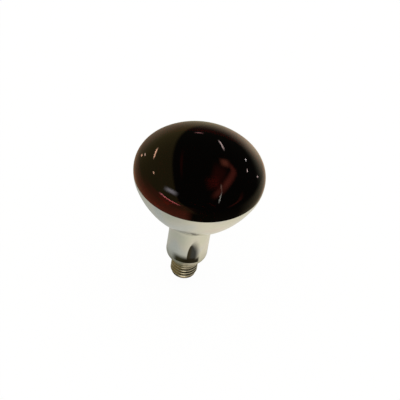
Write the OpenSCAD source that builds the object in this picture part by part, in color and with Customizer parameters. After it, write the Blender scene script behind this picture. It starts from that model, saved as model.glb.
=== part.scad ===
// Infrared heat bulb: a blown reflector lamp with a red face, a mirrored bowl,
// a wire mount on a pressed glass stem, and a rolled screw cap.
// Millimetres. The bulb stands on its cap: the origin is the middle of the
// centre contact, and +Z runs up the axis to the crown of the face.

/* [Bulb outline] */
// Greatest diameter of the bulb
bulb_d = 125; // [121:0.5:129]
// Height from the centre contact to the crown of the face
bulb_h = 178; // [172:0.5:184]
// Radius of the face
face_r = 78; // [74:0.5:86]
// Radius of the rim between the face and the bowl
rim_r = 19; // [15:0.5:23]
// Radius of the upper bowl, just below the widest line
bowl_r = 32; // [28:0.5:36]
// Radius of the bowl's flank, which runs on down to the neck
flank_r = 111; // [95:1:130]
// Depth of the bowl, from the widest line down to where the neck starts to widen
bowl_depth = 70.5; // [67:0.5:74]
// Radius of the blend from the neck to the bowl's flank
neck_blend_r = 19; // [14:0.5:22]
// Outer diameter of the neck
neck_d = 40.5; // [38:0.25:43]
// Radius of the shoulder from the neck down to the cap
shoulder_r = 8.5; // [7.5:0.25:9.25]
// Gap between the drawn-in glass and the cap's thread, for the side lead
entry_gap = 1.175; // [1:0.025:1.4]
// Radius of the small blend under the shoulder
entry_blend_r = 1.2; // [1:0.1:1.4]
// Wall of the blown glass
glass_t = 1; // [0.8:0.05:1.3]
// Thickness of the mirror and of the red coat, which line the glass
coat_t = 0.2; // [0.15:0.05:0.3]
// How far the edge of the red lies below the widest line
red_drop = 3.3; // [0:0.1:6]
// Height of bare glass between the shoulder's foot and the mirror
bare_h = 4; // [2:0.5:7]

/* [Stem] */
// Height of the seal between the bulb and the stem
seal_z = 17; // [16.5:0.25:19]
// Outer diameter of the stem tube
stem_d = 13; // [12.4:0.1:14]
// Wall of the stem tube
stem_t = 1; // [0.8:0.05:1.1]
// Height at which the tube starts to close into the press
press_z = 45; // [41:0.5:47]
// Height of the press
press_h = 12; // [11:0.5:14]
// Thickness of the flat press
press_t = 4.6; // [4:0.1:6]
// Outer diameter of the exhaust tube
exhaust_d = 4.6; // [4:0.1:5]
// Bore of the exhaust tube
exhaust_bore = 3; // [2.4:0.1:3.2]
// Depth of the exhaust tube's seat in the press
exhaust_seat = 1.5; // [1:0.1:2]
// How far the exhaust tube's tip lies below the seal
exhaust_tip = 2.5; // [2:0.1:3]
// Diameter of the hole through which the bulb was emptied and filled
blow_hole_d = 1.8; // [1.2:0.1:2.2]
// Diameter of the glass arbor on the press
arbor_d = 3.2; // [2.8:0.1:3.6]
// Diameter of the button that holds the supports
button_d = 8; // [7:0.2:10]
// Height of the button
button_h = 3.6; // [3:0.2:5]

/* [Filament mount] */
// Height of the filament above the centre contact
filament_z = 88; // [85:0.5:94]
// Radius of the ring that the filament follows
ring_r = 16; // [14:0.5:19]
// Outer diameter of the coiled filament
filament_d = 1.6; // [1.2:0.1:2]
// Angle of the ring left open between the two leads
gap_angle = 60; // [50:2:80]
// Number of support wires
support_count = 5; // [5:1:5]
// How far the coil hangs below its supports between them
filament_sag = 0.8; // [0:0.1:1.5]
// Height of the filament above the middle of the button
support_rise = 6; // [4:0.5:8]
// Diameter of the support wires
support_d = 0.5; // [0.4:0.05:0.6]
// Depth of the support wires' seats in the button
support_seat = 2.4; // [1.6:0.1:2.8]
// Straight end of the support wires outside the button
support_stub = 1; // [0.6:0.1:1.4]
// Diameter of the inner leads
lead_d = 0.9; // [0.7:0.05:1.1]
// Distance of the leads from the axis in the press
lead_x = 4.25; // [3.9:0.05:4.5]
// Height of the leads' bend above the shield
lead_clear = 3; // [2.5:0.1:4]
// Height of the leads' hooks above the end of their slant
lead_rise = 4; // [3:0.1:5]
// Diameter of the wire sealed in the press
seal_wire_d = 0.5; // [0.4:0.05:0.6]
// Diameter of the outer leads in the cap
tail_d = 0.5; // [0.4:0.05:0.55]
// How far below the stem the outer leads part
tail_drop = 3.5; // [3:0.1:4]

/* [Heat shield] */
// Gap between the heat shield and the mirror in the neck
shield_gap = 2.05; // [1.5:0.05:4]
// Sheet thickness of the heat shield
shield_t = 0.5; // [0.4:0.1:0.8]
// Depth of its turned-down edge
shield_edge = 1.5; // [1:0.25:2.5]
// Diameter of the holes that the leads pass through
shield_hole_d = 2.6; // [2.2:0.1:2.8]
// Height of the shield above the press
shield_lift = 3; // [2.5:0.25:5]
// Wall of the shield's hollow rivet
rivet_t = 0.65; // [0.5:0.05:0.7]
// Width and thickness of the rivet's two flanges
rivet_flange = 0.45; // [0.4:0.05:0.6]

/* [Screw cap] */
// Height of the shell's rim above the centre contact
cap_h = 27.5; // [26.5:0.25:28.5]
// Gap between the shell's rim and the foot of the shoulder
rim_gap = 0.8; // [0.7:0.05:1]
// Thread diameter over the crests
thread_major_d = 26.3; // [26.05:0.05:26.45]
// Depth of the thread from its crests to its roots
thread_h = 1.075; // [0.95:0.025:1.15]
// Thread pitch
thread_pitch = 3.629; // [3.5:0.001:3.7]
// Sheet thickness of the shell
shell_t = 0.3; // [0.2:0.05:0.35]
// Height of the smooth collar above the thread
collar_h = 4; // [3.5:0.25:5]
// How far the collar lies inside the thread's crests
collar_step = 0.15; // [0.05:0.025:0.25]
// Height of the shell's lower edge
shell_z = 5; // [4.5:0.25:5.5]
// How far the shell's lower edge curls in from the thread's roots
lip_in = 1.875; // [1.5:0.025:2.2]
// Height over which the lower edge curls in
lip_h = 2.6; // [2.2:0.1:3]
// Gap below the cement and above it
cement_gap = 0.35; // [0.25:0.05:0.5]
// Width of the black glass round the contact plate
glass_edge = 0.4; // [0.3:0.05:0.6]
// Bevel of the black glass round its lower face
glass_bevel = 0.5; // [0.4:0.05:0.7]
// How far the black glass wells out under the shell's edge
glass_well = 0.4; // [0.3:0.05:0.5]
// Diameter of the contact plate
contact_d = 9.8; // [9:0.2:11]
// Sheet thickness of the contact plate
contact_t = 0.6; // [0.4:0.05:0.8]
// Bore of the contact plate and its sleeve
contact_bore = 3; // [2.6:0.1:3.4]
// Depth of the sleeve in the black glass
sleeve_h = 1.6; // [1.2:0.1:2.2]
// Height of the solder on the contact plate
solder_h = 0.7; // [0.5:0.05:1]
// Diameter of the flat on the centre solder
solder_flat_d = 3.6; // [3:0.1:4.2]
// Radius of the solder on the shell's rim
side_solder_r = 1.6; // [1.3:0.1:1.8]

/* [Fits] */
// Gap between wires or metal and the glass or solder round them
seal_fit = 0.02; // [0.01:0.01:0.04]
// Gap between the filament and the loops and hooks round it
loop_fit = 0.15; // [0.12:0.01:0.25]
// Gap between the rolled shell and what it holds
shell_fit = 0.1; // [0.08:0.01:0.15]

/* [Hidden] */
$fn = 64;

// Points on one arc of the outline, and on one small arc
arc_steps = 14;
small_steps = 7;
// Facets of the rolled thread round one turn and along one pitch
thread_sides = 36;
thread_rows = 8;
// Sides of a wire, steps of the filament between two supports, and steps round a loop
wire_sides = 10;
coil_steps = 6;
loop_steps = 12;

// Radii from the diameters above
bulb_r = bulb_d / 2;
neck_r = neck_d / 2;
thread_major_r = thread_major_d / 2;
thread_minor_r = thread_major_r - thread_h;
collar_r = thread_major_r - collar_step;
lip_r = thread_minor_r - lip_in;
entry_r = thread_minor_r - shell_t - entry_gap;
stem_r = stem_d / 2;
arbor_r = arbor_d / 2;
button_r = button_d / 2;
filament_r = filament_d / 2;
contact_r = contact_d / 2;

// How far a cutting body runs past the faces that it cuts
cut = 1;

// Centres of the outline's arcs, as [radius, height]
face_c = [0, bulb_h - face_r];
rim_c = [bulb_r - rim_r, face_c.y + sqrt(pow(face_r - rim_r, 2) - pow(bulb_r - rim_r, 2))];
rim_angle = atan2(rim_c.y - face_c.y, rim_c.x);
bowl_c = [bulb_r - bowl_r, rim_c.y];
neck_blend_c = [neck_r + neck_blend_r, rim_c.y - bowl_depth];

// The flank is the arc of its radius that touches the upper bowl and the blend
blend_way = neck_blend_c - bowl_c;
flank_reach = flank_r - bowl_r;
flank_way = flank_r + neck_blend_r;
flank_lean = (pow(flank_way, 2) - pow(norm(blend_way), 2) - pow(flank_reach, 2)) / (2 * flank_reach);
flank_top_angle = atan2(-blend_way.y, blend_way.x) - acos(flank_lean / norm(blend_way));
flank_c = bowl_c - flank_reach * [cos(flank_top_angle), -sin(flank_top_angle)];
flank_foot_angle = acos((neck_blend_c.x - flank_c.x) / flank_way);
shoulder_c = [neck_r - shoulder_r, cap_h + rim_gap + shoulder_r];
entry_blend_x = entry_r + entry_blend_r;
entry_blend_c = [
    entry_blend_x,
    shoulder_c.y - sqrt(pow(shoulder_r + entry_blend_r, 2) - pow(entry_blend_x - shoulder_c.x, 2))
];
entry_angle = atan2(shoulder_c.y - entry_blend_c.y, shoulder_c.x - entry_blend_c.x);

// Where the coats start, meet and end
mirror_z = cap_h + rim_gap + bare_h;
red_z = rim_c.y - red_drop;

// The stem
flare_r = entry_r - glass_t - stem_r;
press_top = press_z + press_h;
press_close = press_h / 2;
exhaust_tip_z = seal_z - exhaust_tip;

// The seal wire fills the middle of the press, with a lead welded to each end
lead_seat = press_h / 4;
seal_wire_low = press_z + lead_seat;
seal_wire_high = press_top - lead_seat;

// The shield and its rivet
shield_z = press_top + shield_lift;
shield_r = neck_r - glass_t - coat_t - shield_gap;
rivet_bore_r = arbor_r + seal_fit;
rivet_r = rivet_bore_r + rivet_t;

// The button and the supports
button_z = filament_z - support_rise;
arc_span = 360 - gap_angle;
arc_start = gap_angle / 2 - 90;
support_step = arc_span / (support_count + 1);
loop_r = filament_r + loop_fit + support_d / 2;

// Radius of the hooks on the leads
hook_r = filament_r + loop_fit + lead_d / 2;

// The cap's thread: crests and roots are tangent arcs of one radius
thread_arc_r = (pow(thread_pitch, 2) / 4 + pow(thread_h, 2)) / (4 * thread_h);
crest_c = thread_major_r - thread_arc_r;
root_c = thread_minor_r + thread_arc_r;
thread_low = shell_z + lip_h;
thread_high = cap_h - collar_h;
shell_rows = ceil((cap_h - shell_z) / thread_pitch * thread_rows);

// The contact plate sits over the solder, and the outer leads run round the stem's foot
plate_top = solder_h + contact_t;
tail_turn_z = seal_z - stem_t - tail_drop;
tail_r = entry_r + entry_gap / 2;
tail_over_z = cap_h + tail_d / 2 + shell_fit / 2;
tail_out_r = collar_r + tail_d / 2 + 1.5 * shell_fit;
tail_end_z = cap_h - side_solder_r;

// n + 1 points on an arc from angle a to angle b, without the first where first is 1
function arc(c, r, a, b, n, first = 0) =
    [for (i = [first:n]) let (t = a + (b - a) * i / n) [max(0, c.x + r * cos(t)), c.y + r * sin(t)]];

function reversed(v) = [for (i = [len(v) - 1:-1:0]) v[i]];

// The bulb's outline from the seal up to the crown, moved inwards by depth
function outline(depth) = concat(
    [[entry_r - depth, seal_z]],
    arc(entry_blend_c, entry_blend_r + depth, 180, entry_angle, small_steps),
    arc(shoulder_c, shoulder_r - depth, entry_angle - 180, 0, arc_steps, 1),
    arc(neck_blend_c, neck_blend_r + depth, 180, 180 - flank_foot_angle, arc_steps),
    arc(flank_c, flank_r - depth, -flank_foot_angle, -flank_top_angle, arc_steps, 1),
    arc(bowl_c, bowl_r - depth, -flank_top_angle, 0, small_steps, 1),
    arc(rim_c, rim_r - depth, 0, rim_angle, arc_steps, 1),
    arc(face_c, face_r - depth, rim_angle, 90, arc_steps, 1)
);

// A wall of revolution between two depths under the outline
module bulb_wall(from, to) {
    polygon(concat(outline(from), reversed(outline(to))));
}

// The part of a coat that lies between two heights
module coat(low, high) {
    rotate_extrude()
        intersection() {
            bulb_wall(glass_t, glass_t + coat_t);
            translate([0, low]) square([bulb_d, high - low]);
        }
}

function unit(v) = v / norm(v);

// A ring of points slid along a direction onto the plane of the next bend
function slid(ring, along, centre, plane) =
    [for (p = ring) p + along * ((centre - p) * plane) / (along * plane)];

// Every ring of a wire, each one slid on from the one before
function rings(points, runs, planes, ring, i = 0) = concat(
    ring,
    i + 1 < len(points)
        ? rings(points, runs, planes, slid(ring, runs[i], points[i + 1], planes[i + 1]), i + 1)
        : []
);

// A round wire that follows the points, mitred at each bend
module wire(points, d) {
    last = len(points) - 1;
    runs = [for (i = [0:last - 1]) unit(points[i + 1] - points[i])];
    planes = [for (i = [0:last]) unit(runs[max(0, i - 1)] + runs[min(last - 1, i)])];
    across = unit(cross(runs[0], abs(runs[0].z) > 0.9 ? [1, 0, 0] : [0, 0, 1]));
    above = cross(runs[0], across);
    ring = [
        for (j = [0:wire_sides - 1])
            let (a = 360 * j / wire_sides) points[0] + d / 2 * (cos(a) * across + sin(a) * above)
    ];
    sides = [
        for (i = [0:last - 1], j = [0:wire_sides - 1])
            let (k = (j + 1) % wire_sides, p = i * wire_sides, q = p + wire_sides)
            each [[p + j, p + k, q + k], [p + j, q + k, q + j]]
    ];
    ends = [
        [for (j = [wire_sides - 1:-1:0]) j],
        [for (j = [0:wire_sides - 1]) last * wire_sides + j]
    ];
    polyhedron(rings(points, runs, planes, ring), concat(sides, ends));
}

// The blown bulb, drawn in at its foot to meet the stem
module envelope() {
    color("whitesmoke", 0.35)
        rotate_extrude() bulb_wall(0, glass_t);
}

// The aluminium mirror on the inside of the bowl and neck
module mirror_coat() {
    color("silver") coat(mirror_z, red_z);
}

// The red coat on the inside of the face
module red_coat() {
    color("darkred", 0.7) coat(red_z, bulb_h);
}

// Half thickness of the press at a share u of the way it closes
function press_half(u) = press_t / 2 + (stem_r - press_t / 2) * (1 + cos(180 * min(1, u))) / 2;

// The press seen from its edge
module press_edge() {
    side = [for (i = [0:small_steps]) [press_half(i / small_steps), press_close * i / small_steps]];
    flat = [[press_t / 2, press_h]];
    other = [for (p = reversed(concat(side, flat))) [-p.x, p.y]];
    polygon(concat(side, flat, other));
}

// The stem: a tube flared at its foot and pressed flat round the wires at its top
module stem() {
    foot = [entry_r - glass_t, seal_z + flare_r];
    color("lightcyan", 0.5)
        difference() {
            union() {
                rotate_extrude()
                    polygon(concat(
                        [[entry_r, seal_z - stem_t], [entry_r, seal_z]],
                        arc(foot, flare_r, 270, 180, small_steps),
                        [[stem_r, press_z], [stem_r - stem_t, press_z]],
                        arc(foot, flare_r + stem_t, 180, 270, small_steps)
                    ));
                intersection() {
                    translate([0, 0, press_z]) cylinder(r = stem_r, h = press_h);
                    translate([-stem_r, 0, press_z])
                        rotate([90, 0, 90]) linear_extrude(stem_d) press_edge();
                }
            }
            translate([0, 0, press_z - cut])
                cylinder(d = exhaust_d + 2 * seal_fit, h = exhaust_seat + cut);
            translate([0, 0, press_z])
                cylinder(d = blow_hole_d, h = exhaust_seat + blow_hole_d / 2);
            translate([0, 0, press_z + exhaust_seat + blow_hole_d / 2])
                rotate([-90, 0, 0]) cylinder(d = blow_hole_d, h = stem_r + cut);
            for (side = [-1, 1])
                translate([side * lead_x, 0, 0]) {
                    translate([0, 0, press_z - cut])
                        cylinder(d = tail_d + 2 * seal_fit, h = seal_wire_low - press_z + cut, $fn = 24);
                    translate([0, 0, seal_wire_low - cut])
                        cylinder(d = seal_wire_d + 2 * seal_fit, h = press_h, $fn = 24);
                    translate([0, 0, seal_wire_high])
                        cylinder(d = lead_d + 2 * seal_fit, h = press_h, $fn = 24);
                }
        }
}

// The exhaust tube, melted shut at its lower end
module exhaust_tube() {
    tip = [0, exhaust_tip_z + exhaust_d / 2];
    top = press_z + exhaust_seat;
    color("lightcyan", 0.5)
        rotate_extrude()
            polygon(concat(
                arc(tip, exhaust_d / 2, 270, 360, small_steps),
                [[exhaust_d / 2, top], [exhaust_bore / 2, top]],
                arc(tip, exhaust_bore / 2, 360, 270, small_steps)
            ));
}

// The glass rod on the press, with the button that grips the supports
module arbor() {
    edge_r = button_h / 3;
    low = button_z - button_h / 2;
    high = button_z + button_h / 2;
    color("lightcyan", 0.5)
        difference() {
            rotate_extrude()
                polygon(concat(
                    [[0, press_top], [arbor_r, press_top], [arbor_r, low]],
                    arc([button_r - edge_r, low + edge_r], edge_r, 270, 360, small_steps),
                    arc([button_r - edge_r, high - edge_r], edge_r, 0, 90, small_steps),
                    [[0, high]]
                ));
            for (i = [1:support_count])
                rotate([0, 0, arc_start + i * support_step])
                    translate([button_r - support_seat, 0, button_z])
                        rotate([0, 90, 0])
                            cylinder(d = support_d + 2 * seal_fit, h = button_r, $fn = 24);
        }
}

// A point turned about the axis
function turned(p, a) = [p.x * cos(a) - p.y * sin(a), p.x * sin(a) + p.y * cos(a), p.z];

// Points of a loop of radius r round the filament where it crosses the XZ plane
function loop_round(r, first) = [
    for (i = [0:loop_steps - 1])
        let (a = first + 360 * i / loop_steps) [ring_r + r * cos(a), 0, filament_z + r * sin(a)]
];

// A nickel lead from the press, with a hook squeezed round one end of the filament
module inner_lead(side) {
    a = side > 0 ? arc_start : 180 - arc_start;
    color("lightsteelblue")
        wire(concat(
            [
                [side * lead_x, 0, seal_wire_high],
                [side * lead_x, 0, shield_z + lead_clear],
                turned([ring_r + hook_r, 0, filament_z - lead_rise], a)
            ],
            [for (p = loop_round(hook_r, 0)) turned(p, a)]
        ), lead_d);
}

// The wire that the press is sealed on, between the two leads
module seal_wire(side) {
    color("peru")
        translate([side * lead_x, 0, seal_wire_low])
            cylinder(d = seal_wire_d, h = seal_wire_high - seal_wire_low, $fn = 24);
}

// The lead from the press to the centre contact
module outer_lead_centre() {
    color("sandybrown")
        wire([
            [-lead_x, 0, seal_wire_low],
            [-lead_x, 0, tail_turn_z],
            [0, 0, tail_turn_z - lead_x],
            [0, 0, solder_h]
        ], tail_d);
}

// The lead from the press up between glass and shell, and over the shell's rim
module outer_lead_side() {
    color("sandybrown")
        wire([
            [lead_x, 0, seal_wire_low],
            [lead_x, 0, tail_turn_z],
            [0, tail_r, tail_turn_z],
            [0, tail_r, tail_over_z - tail_d],
            [0, tail_r + tail_d, tail_over_z],
            [0, tail_out_r, tail_over_z],
            [0, tail_out_r, tail_end_z]
        ], tail_d);
}

// A wire from the button that ends in a loop round the filament
module support_wire(i) {
    color("dimgray")
        rotate([0, 0, arc_start + i * support_step])
            wire(concat(
                [
                    [button_r - support_seat, 0, button_z],
                    [button_r + support_stub, 0, button_z],
                    [ring_r - 2 * loop_r, 0, filament_z - loop_r]
                ],
                loop_round(loop_r, -90)
            ), support_d);
}

// A point on the filament's centre line, with t counted in spans between supports
function filament_point(t) =
    let (a = arc_start + t * support_step, dip = pow(sin(180 * t), 2))
    [(ring_r - dip / 2) * cos(a), (ring_r - dip / 2) * sin(a), filament_z - filament_sag * dip];

// The coiled tungsten filament, as the round outer shape of its coil, past both hooks
module filament() {
    last = (support_count + 1) * coil_steps;
    color("gray") wire([for (i = [-1:last + 1]) filament_point(i / coil_steps)], filament_d);
}

// The disc that keeps the filament's heat off the stem and cap
module heat_shield() {
    r = shield_r;
    bend_r = shield_t * 2;
    color("gainsboro")
        difference() {
            rotate_extrude()
                polygon(concat(
                    [[rivet_r + shell_fit, shield_z], [r - bend_r, shield_z]],
                    arc([r - bend_r, shield_z - bend_r + shield_t], bend_r - shield_t, 90, 0, small_steps, 1),
                    [[r - shield_t, shield_z - shield_edge], [r, shield_z - shield_edge]],
                    arc([r - bend_r, shield_z - bend_r + shield_t], bend_r, 0, 90, small_steps),
                    [[rivet_r + shell_fit, shield_z + shield_t]]
                ));
            for (side = [-1, 1])
                translate([side * lead_x, 0, shield_z - cut])
                    cylinder(d = shield_hole_d, h = shield_t + 2 * cut);
        }
}

// The hollow rivet that holds the shield on the arbor, over the press
module shield_rivet() {
    wide = rivet_r + rivet_flange;
    top = shield_z + shield_t;
    color("lightgray")
        rotate_extrude()
            polygon([
                [rivet_bore_r, press_top], [rivet_r, press_top],
                [rivet_r, shield_z - rivet_flange], [wide, shield_z - rivet_flange],
                [wide, shield_z], [rivet_r, shield_z], [rivet_r, top], [wide, top],
                [wide, top + rivet_flange], [rivet_bore_r, top + rivet_flange]
            ]);
}

// Radius of the thread's sheet at a distance u from a crest, moved inwards by depth
function thread_radius(u, depth) =
    abs(u) * thread_arc_r <= thread_pitch / 4 * (thread_arc_r - depth)
        ? crest_c + sqrt(pow(thread_arc_r - depth, 2) - u * u)
        : root_c - sqrt(pow(thread_arc_r + depth, 2) - pow(thread_pitch / 2 - abs(u), 2));

// Radius of the plain shell at height z: the curled lip, then the collar
function plain_radius(z) =
    z < thread_low
        ? lip_r + lip_in * sqrt(1 - pow((thread_low - z) / lip_h, 2))
        : thread_minor_r + (collar_r - thread_minor_r) * min(1, (z - thread_low) / (thread_high - thread_low));

// How much of the thread shows at height z: none on the lip and the collar
function thread_share(z) =
    let (run = thread_pitch / 2, rise = min(z - thread_low, thread_high - z) / run)
    (1 - cos(180 * max(0, min(1, rise)))) / 2;

// Radius of the rolled sheet at height z and angle a
function shell_radius(z, a, depth) =
    let (
        turns = (z - thread_low) / thread_pitch - a / 360,
        u = (turns - round(turns)) * thread_pitch,
        plain = plain_radius(z) - depth
    )
    plain + thread_share(z) * (thread_radius(u, depth) - plain);

// Height of a row of the shell's facets
function row_z(i) = shell_z + (cap_h - shell_z) * i / shell_rows;

// The screw shell: one sheet rolled into the thread, alike inside and outside
module screw_shell() {
    ring = thread_sides;
    wall = ring * (shell_rows + 1);
    points = [
        for (depth = [0, shell_t], i = [0:shell_rows], j = [0:ring - 1])
            let (
                a = 360 * j / ring,
                r = shell_radius(row_z(i), a, depth)
            )
            [r * cos(a), r * sin(a), row_z(i)]
    ];
    walls = [
        for (i = [0:shell_rows - 1], j = [0:ring - 1])
            let (k = (j + 1) % ring, p = i * ring, q = p + ring)
            each [
                [p + j, q + k, p + k], [p + j, q + j, q + k],
                [wall + p + j, wall + p + k, wall + q + k], [wall + p + j, wall + q + k, wall + q + j]
            ]
    ];
    rims = [
        for (j = [0:ring - 1])
            let (k = (j + 1) % ring, q = shell_rows * ring)
            each [
                [j, k, wall + k], [j, wall + k, wall + j],
                [q + j, wall + q + k, q + k], [q + j, wall + q + j, wall + q + k]
            ]
    ];
    color("silver") polyhedron(points, concat(walls, rims));
}

// The ring of cement that fixes the shell's collar to the glass
module basing_cement() {
    low = thread_high + cement_gap;
    high = min(cap_h, entry_blend_c.y) - cement_gap;
    color("tan")
        difference() {
            translate([0, 0, low]) cylinder(r = collar_r - shell_t - shell_fit, h = high - low);
            translate([0, 0, low - cut]) cylinder(r = entry_r + seal_fit, h = high - low + 2 * cut);
            translate([0, tail_r, low - cut])
                cylinder(d = tail_d + 2 * seal_fit, h = high - low + 2 * cut, $fn = 24);
        }
}

// The glass that fills the shell's lower end and carries the contact plate
module black_glass() {
    inside = [
        for (i = [0:shell_rows])
            if (row_z(i) < thread_low) [plain_radius(row_z(i)) - shell_t - shell_fit, row_z(i)]
    ];
    top_r = plain_radius(thread_low) - shell_t - shell_fit;
    sleeve_r = contact_bore / 2 + contact_t + seal_fit;
    seat_z = plate_top + sleeve_h;
    foot_r = contact_r + glass_edge;
    color([0.06, 0.06, 0.08])
        rotate_extrude()
            polygon(concat(
                [[sleeve_r, plate_top], [foot_r, plate_top], [foot_r + glass_bevel, plate_top + glass_bevel]],
                [[lip_r - shell_t - shell_fit, shell_z - glass_well]],
                inside,
                [[top_r, thread_low], [contact_bore / 2, thread_low]],
                [[contact_bore / 2, seat_z], [sleeve_r, seat_z]]
            ));
}

// The brass plate under the black glass, with its sleeve
module contact_plate() {
    bore_r = contact_bore / 2;
    round_r = contact_t / 2;
    color("goldenrod")
        rotate_extrude()
            polygon(concat(
                [[bore_r, solder_h]],
                arc([contact_r - round_r, solder_h + round_r], round_r, 270, 450, small_steps),
                [
                    [bore_r + contact_t, plate_top], [bore_r + contact_t, plate_top + sleeve_h],
                    [bore_r, plate_top + sleeve_h]
                ]
            ));
}

// The solder that joins the lead to the contact plate, with a flat worn on its crown
module centre_solder() {
    flat_r = solder_flat_d / 2;
    plug_r = contact_bore / 2 - seal_fit;
    lead_r = tail_d / 2 + seal_fit;
    color("lightgray")
        rotate_extrude()
            polygon(concat(
                [[0, 0]],
                arc([flat_r, solder_h], solder_h, 270, 360, small_steps),
                [[plug_r, solder_h], [plug_r, plate_top], [lead_r, plate_top]],
                [[lead_r, solder_h], [0, solder_h]]
            ));
}

// The solder that joins the other lead to the shell's rim
module side_solder() {
    color("lightgray")
        difference() {
            translate([0, collar_r, tail_end_z]) sphere(r = side_solder_r);
            cylinder(r = collar_r + seal_fit, h = cap_h + side_solder_r);
            translate([0, tail_out_r, tail_end_z])
                cylinder(d = tail_d + 2 * seal_fit, h = 2 * side_solder_r, $fn = 24);
        }
}

envelope();
mirror_coat();
red_coat();
stem();
exhaust_tube();
arbor();
inner_lead(-1);  // inner_lead_left
inner_lead(1);  // inner_lead_right
seal_wire(-1);  // seal_wire_left
seal_wire(1);  // seal_wire_right
outer_lead_centre();
outer_lead_side();
support_wire(1);  // support_wire_1
support_wire(2);  // support_wire_2
support_wire(3);  // support_wire_3
support_wire(4);  // support_wire_4
support_wire(5);  // support_wire_5
filament();
heat_shield();
shield_rivet();
screw_shell();
basing_cement();
black_glass();
contact_plate();
centre_solder();
side_solder();
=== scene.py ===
import math

import bpy
from mathutils import Matrix, Vector


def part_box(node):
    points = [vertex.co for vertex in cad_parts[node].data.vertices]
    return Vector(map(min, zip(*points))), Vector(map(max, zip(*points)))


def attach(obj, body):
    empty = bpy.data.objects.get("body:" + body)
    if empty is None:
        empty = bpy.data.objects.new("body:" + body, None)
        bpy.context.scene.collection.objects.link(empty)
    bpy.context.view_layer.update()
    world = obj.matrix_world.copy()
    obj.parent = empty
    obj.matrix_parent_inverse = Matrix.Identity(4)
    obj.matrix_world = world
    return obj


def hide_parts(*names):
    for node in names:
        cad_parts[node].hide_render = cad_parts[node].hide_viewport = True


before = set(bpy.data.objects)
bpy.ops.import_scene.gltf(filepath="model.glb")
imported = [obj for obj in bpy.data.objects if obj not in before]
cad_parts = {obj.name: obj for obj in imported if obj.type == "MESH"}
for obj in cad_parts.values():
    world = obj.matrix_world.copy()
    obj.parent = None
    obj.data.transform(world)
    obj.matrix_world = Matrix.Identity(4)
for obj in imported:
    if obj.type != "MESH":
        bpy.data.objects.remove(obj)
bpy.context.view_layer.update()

mm = 0.001


# The silvered bowl and neck
# Soft glass blown in a two-part mould and drawn in at its foot, with bright aluminium
# evaporated on its etched inside. The outline is a chain of tangent arcs and straights.
crown_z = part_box("envelope")[1].z
seal_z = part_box("envelope")[0].z
cap_rim_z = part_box("screw_shell")[1].z
bulb_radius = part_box("envelope")[1].x
red_edge_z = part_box("red_coat")[0].z
face_radius = 78 * mm
rim_radius = 19 * mm
bowl_radius = 32 * mm
flank_radius = 111 * mm
bowl_depth = 70.5 * mm
neck_blend = 19 * mm
neck_radius = 20.25 * mm
shoulder_radius = 8.5 * mm
foot_radius = 10.6 * mm
foot_blend = 1.2 * mm
foot_gap = 0.8 * mm
glass_wall = 1.2 * mm
mould_line_rise = 0.15 * mm
mould_line_width = 0.7 * mm
bulb_sides = 192
seam_reach = 2e-6

face_centre = Vector((0, crown_z - face_radius))
rim_x = bulb_radius - rim_radius
rim_centre = Vector((rim_x, face_centre.y + math.sqrt((face_radius - rim_radius) ** 2 - rim_x ** 2)))
rim_angle = math.atan2(rim_centre.y - face_centre.y, rim_centre.x)
bowl_centre = Vector((bulb_radius - bowl_radius, rim_centre.y))
blend_centre = Vector((neck_radius + neck_blend, rim_centre.y - bowl_depth))
blend_way = blend_centre - bowl_centre
flank_reach = flank_radius - bowl_radius
flank_way = flank_radius + neck_blend
flank_lean = (flank_way ** 2 - blend_way.length_squared - flank_reach ** 2) / (2 * flank_reach)
flank_top = math.atan2(-blend_way.y, blend_way.x) - math.acos(flank_lean / blend_way.length)
flank_centre = bowl_centre - flank_reach * Vector((math.cos(flank_top), -math.sin(flank_top)))
flank_foot = math.acos((blend_centre.x - flank_centre.x) / flank_way)
shoulder_centre = Vector((neck_radius - shoulder_radius, cap_rim_z + foot_gap + shoulder_radius))
foot_x = foot_radius + foot_blend
foot_centre = Vector((foot_x, shoulder_centre.y - math.sqrt(
    (shoulder_radius + foot_blend) ** 2 - (foot_x - shoulder_centre.x) ** 2)))
foot_angle = math.atan2(shoulder_centre.y - foot_centre.y, shoulder_centre.x - foot_centre.x)


def arc(centre, radius, start, end, steps):
    """Points on an arc, as radius and height, with both its ends."""
    angles = [start + (end - start) * i / steps for i in range(steps + 1)]
    return [centre + radius * Vector((math.cos(a), math.sin(a))) for a in angles]


def outline(depth):
    """The bulb's outline from its foot to its crown, moved inwards by depth."""
    points = [Vector((foot_radius - depth, seal_z))]
    points += arc(foot_centre, foot_blend + depth, math.pi, foot_angle, 10)
    points += arc(shoulder_centre, shoulder_radius - depth, foot_angle - math.pi, 0, 24)[1:]
    neck_steps = 80
    for i in range(1, neck_steps):
        height = shoulder_centre.y + (blend_centre.y - shoulder_centre.y) * i / neck_steps
        points.append(Vector((neck_radius - depth, height)))
    points += arc(blend_centre, neck_blend + depth, math.pi, math.pi - flank_foot, 20)
    points += arc(flank_centre, flank_radius - depth, -flank_foot, -flank_top, 30)[1:]
    points += arc(bowl_centre, bowl_radius - depth, -flank_top, 0, 16)[1:]
    points += arc(rim_centre, rim_radius - depth, 0, rim_angle, 24)[1:]
    points += arc(face_centre, face_radius - depth, rim_angle, math.pi / 2, 40)[1:]
    points[-1].x = 0
    return points


def between(points, low, high):
    """The stretch of a rising outline between two heights, cut exactly at both."""
    kept = []
    for a, b in zip(points, points[1:]):
        for level in (low, high):
            if a.y < level < b.y:
                kept.append(a + (b - a) * (level - a.y) / (b.y - a.y))
        if low <= b.y <= high:
            kept.append(b)
    return sorted(kept, key=lambda p: p.y)


def with_mould_line(points):
    """Raises the faint ring that the mould leaves where the neck starts to widen."""
    raised = []
    for p in points:
        swell = math.exp(-((p.y - blend_centre.y) / mould_line_width) ** 2)
        raised.append(Vector((p.x + mould_line_rise * swell, p.y)))
    return raised


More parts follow.
